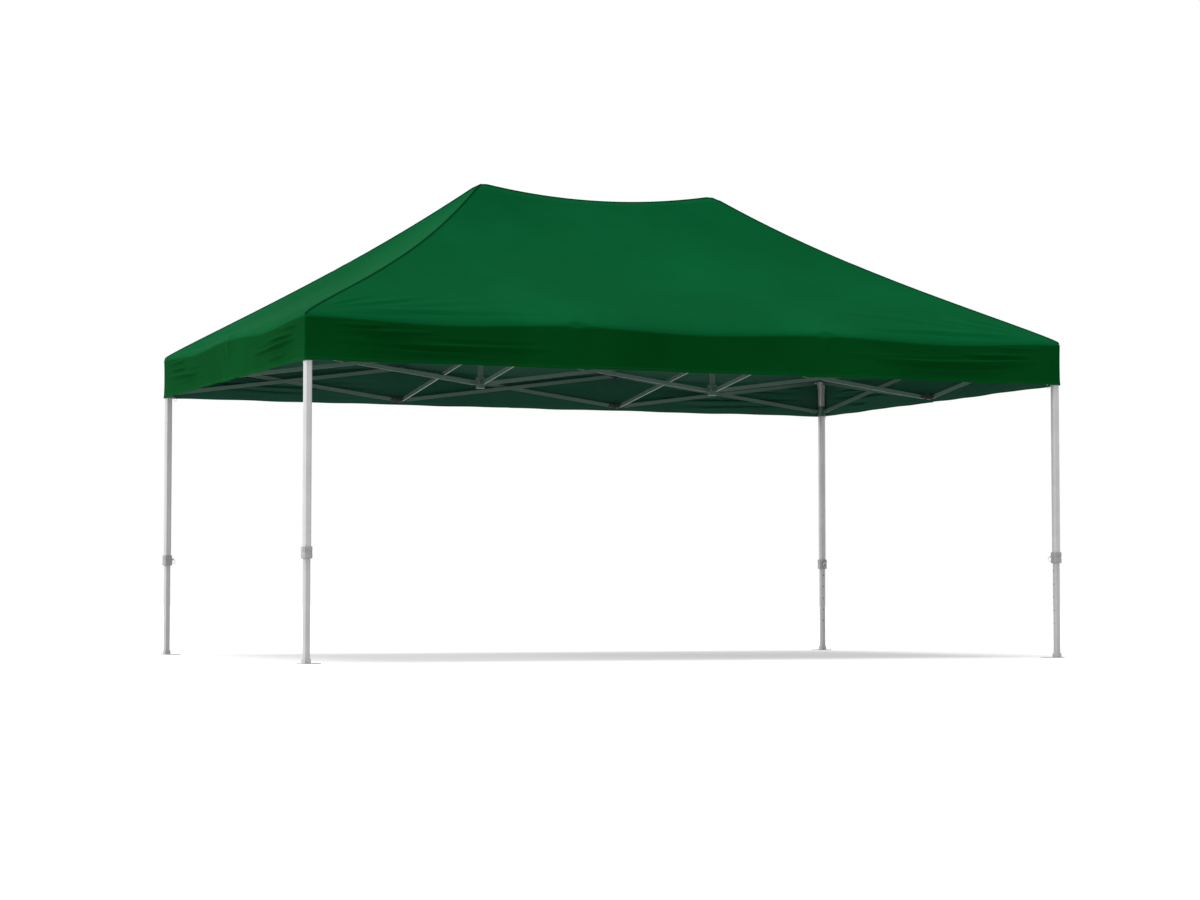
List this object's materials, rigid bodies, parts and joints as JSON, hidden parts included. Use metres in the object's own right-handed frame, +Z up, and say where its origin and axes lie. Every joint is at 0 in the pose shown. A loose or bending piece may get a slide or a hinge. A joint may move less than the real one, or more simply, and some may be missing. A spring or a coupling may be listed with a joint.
{
  "type": "folding tarp shelter",
  "caption": "Hipped cloth canopy with two peaks on a folding scissor frame with telescopic legs and foot plates.",
  "frame": {"origin": "on the floor under the middle of the shelter", "axes": "+X along the long side, +Y across, from front to back, +Z up"},
  "size_m": [6.018, 4.018, 3.68],
  "materials": {
    "cloth": "woven coated polyester, soft sheen",
    "tube_metal": "pale anodised aluminium",
    "bar_metal": "satin anodised aluminium",
    "joint_plastic": "dark glass-filled nylon",
    "cap_plastic": "dark moulded plastic"
  },
  "bodies": {
    "upper_hub_inner_left": {"upper_hub_inner_left": "joint_plastic", "canopy_roof": "cloth", "canopy_valance": "cloth"},
    "bar_middle_row_bay2_falling": {"bar_middle_row_bay2_falling": "bar_metal"},
    "bar_middle_row_bay2_rising": {"bar_middle_row_bay2_rising": "bar_metal"},
    "upper_hub_inner_right": {"upper_hub_inner_right": "joint_plastic"},
    "bar_middle_row_bay1_rising": {"bar_middle_row_bay1_rising": "bar_metal"},
    "bar_middle_row_bay1_falling": {"bar_middle_row_bay1_falling": "bar_metal"},
    "connector_middle_left": {"connector_middle_left": "joint_plastic"},
    "bar_middle_row_bay3_falling": {"bar_middle_row_bay3_falling": "bar_metal"},
    "bar_middle_row_bay3_rising": {"bar_middle_row_bay3_rising": "bar_metal"},
    "connector_middle_right": {"connector_middle_right": "joint_plastic"},
    "bar_left_column_bay1_rising": {"bar_left_column_bay1_rising": "bar_metal"},
    "bar_left_column_bay1_falling": {"bar_left_column_bay1_falling": "bar_metal"},
    "outer_leg_front_left": {"outer_leg_front_left": "tube_metal"},
    "bar_left_column_bay2_falling": {"bar_left_column_bay2_falling": "bar_metal"},
    "bar_left_column_bay2_rising": {"bar_left_column_bay2_rising": "bar_metal"},
    "outer_leg_back_left": {"outer_leg_back_left": "tube_metal"},
    "bar_inner_left_column_bay1_rising": {"bar_inner_left_column_bay1_rising": "bar_metal"},
    "bar_inner_left_column_bay1_falling": {"bar_inner_left_column_bay1_falling": "bar_metal"},
    "connector_front_inner_left": {"connector_front_inner_left": "joint_plastic"},
    "bar_inner_left_column_bay2_falling": {"bar_inner_left_column_bay2_falling": "bar_metal"},
    "bar_inner_left_column_bay2_rising": {"bar_inner_left_column_bay2_rising": "bar_metal"},
    "connector_back_inner_left": {"connector_back_inner_left": "joint_plastic"},
    "bar_inner_right_column_bay1_rising": {"bar_inner_right_column_bay1_rising": "bar_metal"},
    "bar_inner_right_column_bay1_falling": {"bar_inner_right_column_bay1_falling": "bar_metal"},
    "connector_front_inner_right": {"connector_front_inner_right": "joint_plastic"},
    "bar_inner_right_column_bay2_falling": {"bar_inner_right_column_bay2_falling": "bar_metal"},
    "bar_inner_right_column_bay2_rising": {"bar_inner_right_column_bay2_rising": "bar_metal"},
    "connector_back_inner_right": {"connector_back_inner_right": "joint_plastic"},
    "bar_right_column_bay1_rising": {"bar_right_column_bay1_rising": "bar_metal"},
    "bar_right_column_bay1_falling": {"bar_right_column_bay1_falling": "bar_metal"},
    "outer_leg_front_right": {"outer_leg_front_right": "tube_metal"},
    "bar_right_column_bay2_falling": {"bar_right_column_bay2_falling": "bar_metal"},
    "bar_right_column_bay2_rising": {"bar_right_column_bay2_rising": "bar_metal"},
    "outer_leg_back_right": {"outer_leg_back_right": "tube_metal"},
    "bar_front_row_bay1_rising": {"bar_front_row_bay1_rising": "bar_metal"},
    "bar_front_row_bay1_falling": {"bar_front_row_bay1_falling": "bar_metal"},
    "bar_front_row_bay2_falling": {"bar_front_row_bay2_falling": "bar_metal"},
    "bar_front_row_bay2_rising": {"bar_front_row_bay2_rising": "bar_metal"},
    "bar_front_row_bay3_falling": {"bar_front_row_bay3_falling": "bar_metal"},
    "bar_front_row_bay3_rising": {"bar_front_row_bay3_rising": "bar_metal"},
    "bar_back_row_bay1_rising": {"bar_back_row_bay1_rising": "bar_metal"},
    "bar_back_row_bay1_falling": {"bar_back_row_bay1_falling": "bar_metal"},
    "bar_back_row_bay2_falling": {"bar_back_row_bay2_falling": "bar_metal"},
    "bar_back_row_bay2_rising": {"bar_back_row_bay2_rising": "bar_metal"},
    "bar_back_row_bay3_falling": {"bar_back_row_bay3_falling": "bar_metal"},
    "bar_back_row_bay3_rising": {"bar_back_row_bay3_rising": "bar_metal"},
    "slider_front_left": {"slider_front_left": "joint_plastic"},
    "slider_back_left": {"slider_back_left": "joint_plastic"},
    "slider_front_right": {"slider_front_right": "joint_plastic"},
    "slider_back_right": {"slider_back_right": "joint_plastic"},
    "mast_inner_left": {"mast_inner_left": "bar_metal", "mast_cap_inner_left": "cap_plastic"},
    "mast_inner_right": {"mast_inner_right": "bar_metal", "mast_cap_inner_right": "cap_plastic"},
    "inner_leg_front_left": {"inner_leg_front_left": "tube_metal"},
    "inner_leg_back_left": {"inner_leg_back_left": "tube_metal"},
    "inner_leg_front_right": {"inner_leg_front_right": "tube_metal"},
    "inner_leg_back_right": {"inner_leg_back_right": "tube_metal"}
  },
  "joints": [
    {"name": "frame_fold", "type": "hinge", "parent": "upper_hub_inner_left", "child": "bar_middle_row_bay2_falling", "pos_m": [-0.9225, 0, 2.37], "axis": [0, 1, 0], "range_deg": [0, 44], "deforming": ["canopy_roof", "canopy_valance"]},
    {"name": "pivot_bar_middle_row_bay2_rising", "type": "hinge", "parent": "bar_middle_row_bay2_falling", "child": "bar_middle_row_bay2_rising", "pos_m": [0, 0, 2.245], "axis": [0, 1, 0], "range_deg": [-88, 0]},
    {"name": "pivot_upper_hub_inner_right", "type": "hinge", "parent": "bar_middle_row_bay2_rising", "child": "upper_hub_inner_right", "pos_m": [0.9225, 0, 2.37], "axis": [0, 1, 0], "range_deg": [0, 44]},
    {"name": "pivot_bar_middle_row_bay1_rising", "type": "hinge", "parent": "upper_hub_inner_left", "child": "bar_middle_row_bay1_rising", "pos_m": [-1.05417, 0, 2.37], "axis": [0, 1, 0], "range_deg": [-44, 0]},
    {"name": "pivot_bar_middle_row_bay1_falling", "type": "hinge", "parent": "bar_middle_row_bay1_rising", "child": "bar_middle_row_bay1_falling", "pos_m": [-1.97667, 0, 2.245], "axis": [0, 1, 0], "range_deg": [0, 88]},
    {"name": "pivot_connector_middle_left", "type": "hinge", "parent": "bar_middle_row_bay1_falling", "child": "connector_middle_left", "pos_m": [-2.89917, 0, 2.37], "axis": [0, 1, 0], "range_deg": [-44, 0]},
    {"name": "pivot_bar_middle_row_bay3_falling", "type": "hinge", "parent": "upper_hub_inner_right", "child": "bar_middle_row_bay3_falling", "pos_m": [1.05417, 0, 2.37], "axis": [0, 1, 0], "range_deg": [0, 44]},
    {"name": "pivot_bar_middle_row_bay3_rising", "type": "hinge", "parent": "bar_middle_row_bay3_falling", "child": "bar_middle_row_bay3_rising", "pos_m": [1.97667, 0, 2.245], "axis": [0, 1, 0], "range_deg": [-88, 0]},
    {"name": "pivot_connector_middle_right", "type": "hinge", "parent": "bar_middle_row_bay3_rising", "child": "connector_middle_right", "pos_m": [2.89917, 0, 2.37], "axis": [0, 1, 0], "range_deg": [0, 44]},
    {"name": "pivot_bar_left_column_bay1_rising", "type": "hinge", "parent": "connector_middle_left", "child": "bar_left_column_bay1_rising", "pos_m": [-2.965, -0.06, 2.37], "axis": [1, 0, 0], "range_deg": [0, 44]},
    {"name": "pivot_bar_left_column_bay1_falling", "type": "hinge", "parent": "bar_left_column_bay1_rising", "child": "bar_left_column_bay1_falling", "pos_m": [-2.965, -0.9825, 2.245], "axis": [1, 0, 0], "range_deg": [-88, 0]},
    {"name": "pivot_outer_leg_front_left", "type": "hinge", "parent": "bar_left_column_bay1_falling", "child": "outer_leg_front_left", "pos_m": [-2.965, -1.905, 2.37], "axis": [1, 0, 0], "range_deg": [0, 44]},
    {"name": "pivot_bar_left_column_bay2_falling", "type": "hinge", "parent": "connector_middle_left", "child": "bar_left_column_bay2_falling", "pos_m": [-2.965, 0.06, 2.37], "axis": [1, 0, 0], "range_deg": [-44, 0]},
    {"name": "pivot_bar_left_column_bay2_rising", "type": "hinge", "parent": "bar_left_column_bay2_falling", "child": "bar_left_column_bay2_rising", "pos_m": [-2.965, 0.9825, 2.245], "axis": [1, 0, 0], "range_deg": [0, 88]},
    {"name": "pivot_outer_leg_back_left", "type": "hinge", "parent": "bar_left_column_bay2_rising", "child": "outer_leg_back_left", "pos_m": [-2.965, 1.905, 2.37], "axis": [1, 0, 0], "range_deg": [-44, 0]},
    {"name": "pivot_bar_inner_left_column_bay1_rising", "type": "hinge", "parent": "upper_hub_inner_left", "child": "bar_inner_left_column_bay1_rising", "pos_m": [-0.98833, -0.06, 2.37], "axis": [1, 0, 0], "range_deg": [0, 44]},
    {"name": "pivot_bar_inner_left_column_bay1_falling", "type": "hinge", "parent": "bar_inner_left_column_bay1_rising", "child": "bar_inner_left_column_bay1_falling", "pos_m": [-0.98833, -0.9825, 2.245], "axis": [1, 0, 0], "range_deg": [-88, 0]},
    {"name": "pivot_connector_front_inner_left", "type": "hinge", "parent": "bar_inner_left_column_bay1_falling", "child": "connector_front_inner_left", "pos_m": [-0.98833, -1.905, 2.37], "axis": [1, 0, 0], "range_deg": [0, 44]},
    {"name": "pivot_bar_inner_left_column_bay2_falling", "type": "hinge", "parent": "upper_hub_inner_left", "child": "bar_inner_left_column_bay2_falling", "pos_m": [-0.98833, 0.06, 2.37], "axis": [1, 0, 0], "range_deg": [-44, 0]},
    {"name": "pivot_bar_inner_left_column_bay2_rising", "type": "hinge", "parent": "bar_inner_left_column_bay2_falling", "child": "bar_inner_left_column_bay2_rising", "pos_m": [-0.98833, 0.9825, 2.245], "axis": [1, 0, 0], "range_deg": [0, 88]},
    {"name": "pivot_connector_back_inner_left", "type": "hinge", "parent": "bar_inner_left_column_bay2_rising", "child": "connector_back_inner_left", "pos_m": [-0.98833, 1.905, 2.37], "axis": [1, 0, 0], "range_deg": [-44, 0]},
    {"name": "pivot_bar_inner_right_column_bay1_rising", "type": "hinge", "parent": "upper_hub_inner_right", "child": "bar_inner_right_column_bay1_rising", "pos_m": [0.98833, -0.06, 2.37], "axis": [1, 0, 0], "range_deg": [0, 44]},
    {"name": "pivot_bar_inner_right_column_bay1_falling", "type": "hinge", "parent": "bar_inner_right_column_bay1_rising", "child": "bar_inner_right_column_bay1_falling", "pos_m": [0.98833, -0.9825, 2.245], "axis": [1, 0, 0], "range_deg": [-88, 0]},
    {"name": "pivot_connector_front_inner_right", "type": "hinge", "parent": "bar_inner_right_column_bay1_falling", "child": "connector_front_inner_right", "pos_m": [0.98833, -1.905, 2.37], "axis": [1, 0, 0], "range_deg": [0, 44]},
    {"name": "pivot_bar_inner_right_column_bay2_falling", "type": "hinge", "parent": "upper_hub_inner_right", "child": "bar_inner_right_column_bay2_falling", "pos_m": [0.98833, 0.06, 2.37], "axis": [1, 0, 0], "range_deg": [-44, 0]},
    {"name": "pivot_bar_inner_right_column_bay2_rising", "type": "hinge", "parent": "bar_inner_right_column_bay2_falling", "child": "bar_inner_right_column_bay2_rising", "pos_m": [0.98833, 0.9825, 2.245], "axis": [1, 0, 0], "range_deg": [0, 88]},
    {"name": "pivot_connector_back_inner_right", "type": "hinge", "parent": "bar_inner_right_column_bay2_rising", "child": "connector_back_inner_right", "pos_m": [0.98833, 1.905, 2.37], "axis": [1, 0, 0], "range_deg": [-44, 0]},
    {"name": "pivot_bar_right_column_bay1_rising", "type": "hinge", "parent": "connector_middle_right", "child": "bar_right_column_bay1_rising", "pos_m": [2.965, -0.06, 2.37], "axis": [1, 0, 0], "range_deg": [0, 44]},
    {"name": "pivot_bar_right_column_bay1_falling", "type": "hinge", "parent": "bar_right_column_bay1_rising", "child": "bar_right_column_bay1_falling", "pos_m": [2.965, -0.9825, 2.245], "axis": [1, 0, 0], "range_deg": [-88, 0]},
    {"name": "pivot_outer_leg_front_right", "type": "hinge", "parent": "bar_right_column_bay1_falling", "child": "outer_leg_front_right", "pos_m": [2.965, -1.905, 2.37], "axis": [1, 0, 0], "range_deg": [0, 44]},
    {"name": "pivot_bar_right_column_bay2_falling", "type": "hinge", "parent": "connector_middle_right", "child": "bar_right_column_bay2_falling", "pos_m": [2.965, 0.06, 2.37], "axis": [1, 0, 0], "range_deg": [-44, 0]},
    {"name": "pivot_bar_right_column_bay2_rising", "type": "hinge", "parent": "bar_right_column_bay2_falling", "child": "bar_right_column_bay2_rising", "pos_m": [2.965, 0.9825, 2.245], "axis": [1, 0, 0], "range_deg": [0, 88]},
    {"name": "pivot_outer_leg_back_right", "type": "hinge", "parent": "bar_right_column_bay2_rising", "child": "outer_leg_back_right", "pos_m": [2.965, 1.905, 2.37], "axis": [1, 0, 0], "range_deg": [-44, 0]},
    {"name": "pivot_bar_front_row_bay1_rising", "type": "hinge", "parent": "connector_front_inner_left", "child": "bar_front_row_bay1_rising", "pos_m": [-1.05417, -1.965, 2.37], "axis": [0, 1, 0], "range_deg": [-44, 0]},
    {"name": "pivot_bar_front_row_bay1_falling", "type": "hinge", "parent": "bar_front_row_bay1_rising", "child": "bar_front_row_bay1_falling", "pos_m": [-1.97667, -1.965, 2.245], "axis": [0, 1, 0], "range_deg": [0, 88]},
    {"name": "pivot_bar_front_row_bay2_falling", "type": "hinge", "parent": "connector_front_inner_left", "child": "bar_front_row_bay2_falling", "pos_m": [-0.9225, -1.965, 2.37], "axis": [0, 1, 0], "range_deg": [0, 44]},
    {"name": "pivot_bar_front_row_bay2_rising", "type": "hinge", "parent": "bar_front_row_bay2_falling", "child": "bar_front_row_bay2_rising", "pos_m": [0, -1.965, 2.245], "axis": [0, 1, 0], "range_deg": [-88, 0]},
    {"name": "pivot_bar_front_row_bay3_falling", "type": "hinge", "parent": "connector_front_inner_right", "child": "bar_front_row_bay3_falling", "pos_m": [1.05417, -1.965, 2.37], "axis": [0, 1, 0], "range_deg": [0, 44]},
    {"name": "pivot_bar_front_row_bay3_rising", "type": "hinge", "parent": "bar_front_row_bay3_falling", "child": "bar_front_row_bay3_rising", "pos_m": [1.97667, -1.965, 2.245], "axis": [0, 1, 0], "range_deg": [-88, 0]},
    {"name": "pivot_bar_back_row_bay1_rising", "type": "hinge", "parent": "connector_back_inner_left", "child": "bar_back_row_bay1_rising", "pos_m": [-1.05417, 1.965, 2.37], "axis": [0, 1, 0], "range_deg": [-44, 0]},
    {"name": "pivot_bar_back_row_bay1_falling", "type": "hinge", "parent": "bar_back_row_bay1_rising", "child": "bar_back_row_bay1_falling", "pos_m": [-1.97667, 1.965, 2.245], "axis": [0, 1, 0], "range_deg": [0, 88]},
    {"name": "pivot_bar_back_row_bay2_falling", "type": "hinge", "parent": "connector_back_inner_left", "child": "bar_back_row_bay2_falling", "pos_m": [-0.9225, 1.965, 2.37], "axis": [0, 1, 0], "range_deg": [0, 44]},
    {"name": "pivot_bar_back_row_bay2_rising", "type": "hinge", "parent": "bar_back_row_bay2_falling", "child": "bar_back_row_bay2_rising", "pos_m": [0, 1.965, 2.245], "axis": [0, 1, 0], "range_deg": [-88, 0]},
    {"name": "pivot_bar_back_row_bay3_falling", "type": "hinge", "parent": "connector_back_inner_right", "child": "bar_back_row_bay3_falling", "pos_m": [1.05417, 1.965, 2.37], "axis": [0, 1, 0], "range_deg": [0, 44]},
    {"name": "pivot_bar_back_row_bay3_rising", "type": "hinge", "parent": "bar_back_row_bay3_falling", "child": "bar_back_row_bay3_rising", "pos_m": [1.97667, 1.965, 2.245], "axis": [0, 1, 0], "range_deg": [-88, 0]},
    {"name": "pivot_slider_front_left", "type": "hinge", "parent": "bar_left_column_bay1_rising", "child": "slider_front_left", "pos_m": [-2.965, -1.905, 2.12], "axis": [1, 0, 0], "range_deg": [-44, 0]},
    {"name": "pivot_slider_back_left", "type": "hinge", "parent": "bar_left_column_bay2_falling", "child": "slider_back_left", "pos_m": [-2.965, 1.905, 2.12], "axis": [1, 0, 0], "range_deg": [0, 44]},
    {"name": "pivot_slider_front_right", "type": "hinge", "parent": "bar_right_column_bay1_rising", "child": "slider_front_right", "pos_m": [2.965, -1.905, 2.12], "axis": [1, 0, 0], "range_deg": [-44, 0]},
    {"name": "pivot_slider_back_right", "type": "hinge", "parent": "bar_right_column_bay2_falling", "child": "slider_back_right", "pos_m": [2.965, 1.905, 2.12], "axis": [1, 0, 0], "range_deg": [0, 44]},
    {"name": "pivot_mast_inner_left", "type": "hinge", "parent": "bar_middle_row_bay2_rising", "child": "mast_inner_left", "pos_m": [-0.9225, 0, 2.12], "axis": [0, 1, 0], "range_deg": [0, 44]},
    {"name": "pivot_mast_inner_right", "type": "hinge", "parent": "bar_middle_row_bay2_falling", "child": "mast_inner_right", "pos_m": [0.9225, 0, 2.12], "axis": [0, 1, 0], "range_deg": [-44, 0]},
    {"name": "leg_height_front_left", "type": "slide", "parent": "outer_leg_front_left", "child": "inner_leg_front_left", "axis": [0, 0, 1], "range_m": [0, 0.66]},
    {"name": "leg_height_back_left", "type": "slide", "parent": "outer_leg_back_left", "child": "inner_leg_back_left", "axis": [0, 0, 1], "range_m": [0, 0.66]},
    {"name": "leg_height_front_right", "type": "slide", "parent": "outer_leg_front_right", "child": "inner_leg_front_right", "axis": [0, 0, 1], "range_m": [0, 0.66]},
    {"name": "leg_height_back_right", "type": "slide", "parent": "outer_leg_back_right", "child": "inner_leg_back_right", "axis": [0, 0, 1], "range_m": [0, 0.66]}
  ],
  "couplings": [
    {"joint": "pivot_bar_middle_row_bay2_rising", "follows": "frame_fold", "ratio": -2},
    {"joint": "pivot_upper_hub_inner_right", "follows": "frame_fold", "ratio": 1},
    {"joint": "pivot_bar_middle_row_bay1_rising", "follows": "frame_fold", "ratio": -1},
    {"joint": "pivot_bar_middle_row_bay1_falling", "follows": "frame_fold", "ratio": 2},
    {"joint": "pivot_connector_middle_left", "follows": "frame_fold", "ratio": -1},
    {"joint": "pivot_bar_middle_row_bay3_falling", "follows": "frame_fold", "ratio": 1},
    {"joint": "pivot_bar_middle_row_bay3_rising", "follows": "frame_fold", "ratio": -2},
    {"joint": "pivot_connector_middle_right", "follows": "frame_fold", "ratio": 1},
    {"joint": "pivot_bar_left_column_bay1_rising", "follows": "frame_fold", "ratio": 1},
    {"joint": "pivot_bar_left_column_bay1_falling", "follows": "frame_fold", "ratio": -2},
    {"joint": "pivot_outer_leg_front_left", "follows": "frame_fold", "ratio": 1},
    {"joint": "pivot_bar_left_column_bay2_falling", "follows": "frame_fold", "ratio": -1},
    {"joint": "pivot_bar_left_column_bay2_rising", "follows": "frame_fold", "ratio": 2},
    {"joint": "pivot_outer_leg_back_left", "follows": "frame_fold", "ratio": -1},
    {"joint": "pivot_bar_inner_left_column_bay1_rising", "follows": "frame_fold", "ratio": 1},
    {"joint": "pivot_bar_inner_left_column_bay1_falling", "follows": "frame_fold", "ratio": -2},
    {"joint": "pivot_connector_front_inner_left", "follows": "frame_fold", "ratio": 1},
    {"joint": "pivot_bar_inner_left_column_bay2_falling", "follows": "frame_fold", "ratio": -1},
    {"joint": "pivot_bar_inner_left_column_bay2_rising", "follows": "frame_fold", "ratio": 2},
    {"joint": "pivot_connector_back_inner_left", "follows": "frame_fold", "ratio": -1},
    {"joint": "pivot_bar_inner_right_column_bay1_rising", "follows": "frame_fold", "ratio": 1},
    {"joint": "pivot_bar_inner_right_column_bay1_falling", "follows": "frame_fold", "ratio": -2},
    {"joint": "pivot_connector_front_inner_right", "follows": "frame_fold", "ratio": 1},
    {"joint": "pivot_bar_inner_right_column_bay2_falling", "follows": "frame_fold", "ratio": -1},
    {"joint": "pivot_bar_inner_right_column_bay2_rising", "follows": "frame_fold", "ratio": 2},
    {"joint": "pivot_connector_back_inner_right", "follows": "frame_fold", "ratio": -1},
    {"joint": "pivot_bar_right_column_bay1_rising", "follows": "frame_fold", "ratio": 1},
    {"joint": "pivot_bar_right_column_bay1_falling", "follows": "frame_fold", "ratio": -2},
    {"joint": "pivot_outer_leg_front_right", "follows": "frame_fold", "ratio": 1},
    {"joint": "pivot_bar_right_column_bay2_falling", "follows": "frame_fold", "ratio": -1},
    {"joint": "pivot_bar_right_column_bay2_rising", "follows": "frame_fold", "ratio": 2},
    {"joint": "pivot_outer_leg_back_right", "follows": "frame_fold", "ratio": -1},
    {"joint": "pivot_bar_front_row_bay1_rising", "follows": "frame_fold", "ratio": -1},
    {"joint": "pivot_bar_front_row_bay1_falling", "follows": "frame_fold", "ratio": 2},
    {"joint": "pivot_bar_front_row_bay2_falling", "follows": "frame_fold", "ratio": 1},
    {"joint": "pivot_bar_front_row_bay2_rising", "follows": "frame_fold", "ratio": -2},
    {"joint": "pivot_bar_front_row_bay3_falling", "follows": "frame_fold", "ratio": 1},
    {"joint": "pivot_bar_front_row_bay3_rising", "follows": "frame_fold", "ratio": -2},
    {"joint": "pivot_bar_back_row_bay1_rising", "follows": "frame_fold", "ratio": -1},
    {"joint": "pivot_bar_back_row_bay1_falling", "follows": "frame_fold", "ratio": 2},
    {"joint": "pivot_bar_back_row_bay2_falling", "follows": "frame_fold", "ratio": 1},
    {"joint": "pivot_bar_back_row_bay2_rising", "follows": "frame_fold", "ratio": -2},
    {"joint": "pivot_bar_back_row_bay3_falling", "follows": "frame_fold", "ratio": 1},
    {"joint": "pivot_bar_back_row_bay3_rising", "follows": "frame_fold", "ratio": -2},
    {"joint": "pivot_slider_front_left", "follows": "frame_fold", "ratio": -1},
    {"joint": "pivot_slider_back_left", "follows": "frame_fold", "ratio": 1},
    {"joint": "pivot_slider_front_right", "follows": "frame_fold", "ratio": -1},
    {"joint": "pivot_slider_back_right", "follows": "frame_fold", "ratio": 1},
    {"joint": "pivot_mast_inner_left", "follows": "frame_fold", "ratio": 1},
    {"joint": "pivot_mast_inner_right", "follows": "frame_fold", "ratio": -1}
  ]
}
